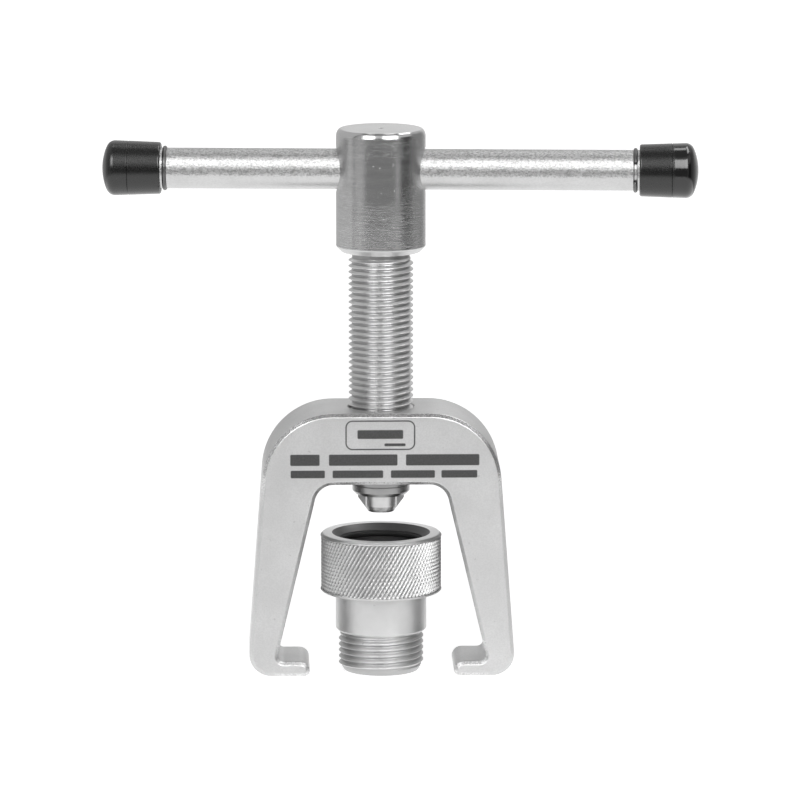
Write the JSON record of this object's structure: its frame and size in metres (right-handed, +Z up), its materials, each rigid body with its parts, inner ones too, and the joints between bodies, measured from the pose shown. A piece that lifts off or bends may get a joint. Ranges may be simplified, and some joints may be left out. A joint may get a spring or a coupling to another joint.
{
  "type": "bicycle crank puller",
  "caption": "Bow-shaped puller with two inward claws, a threaded press screw turned by a sliding cross bar with plastic end caps, a swivel nose, and a separate knurled, threaded adapter.",
  "frame": {"origin": "on the screw axis, level with the feet of the claws and the lower end of the adapter", "axes": "+Z up along the press screw, +X along the cross bar towards its longer side, +Y towards the back"},
  "size_m": [0.146, 0.03, 0.1352],
  "materials": {
    "plated_yoke_steel": "satin nickel plate",
    "turned_screw_steel": "turned, bright",
    "plated_bar_steel": "bright zinc plate",
    "black_spring_steel": "blackened wire",
    "black_cap_plastic": "moulded, half gloss",
    "hardened_nose_steel": "ground",
    "knurled_adapter_steel": "nickel plate over a knurl",
    "seal_rubber": "matt"
  },
  "bodies": {
    "yoke": {"yoke": "plated_yoke_steel", "adapter_body": "knurled_adapter_steel", "adapter_seal_ring": "seal_rubber"},
    "nose": {"pressure_nose": "hardened_nose_steel", "nose_keeper_ring": "black_spring_steel", "thrust_ball": "hardened_nose_steel"},
    "screw": {"press_screw": "turned_screw_steel"},
    "bar": {"tommy_bar": "plated_bar_steel", "snap_ring_left": "black_spring_steel", "snap_ring_right": "black_spring_steel", "end_cap_left": "black_cap_plastic", "end_cap_right": "black_cap_plastic"}
  },
  "joints": [
    {"name": "screw_travel", "type": "slide", "parent": "yoke", "child": "nose", "axis": [0, 0, -1], "range_m": [-0.0081, 0.0381]},
    {"name": "screw_turn", "type": "hinge", "parent": "nose", "child": "screw", "pos_m": [0, 0, 0.08], "axis": [0, 0, -1], "range_deg": [-1920, 9120]},
    {"name": "bar_slide", "type": "slide", "parent": "screw", "child": "bar", "axis": [0.9981, -0.061, 0], "range_m": [-0.0507, 0.0413]}
  ],
  "couplings": [
    {"joint": "screw_travel", "follows": "screw_turn", "m_per_rad": 0.00023873}
  ]
}
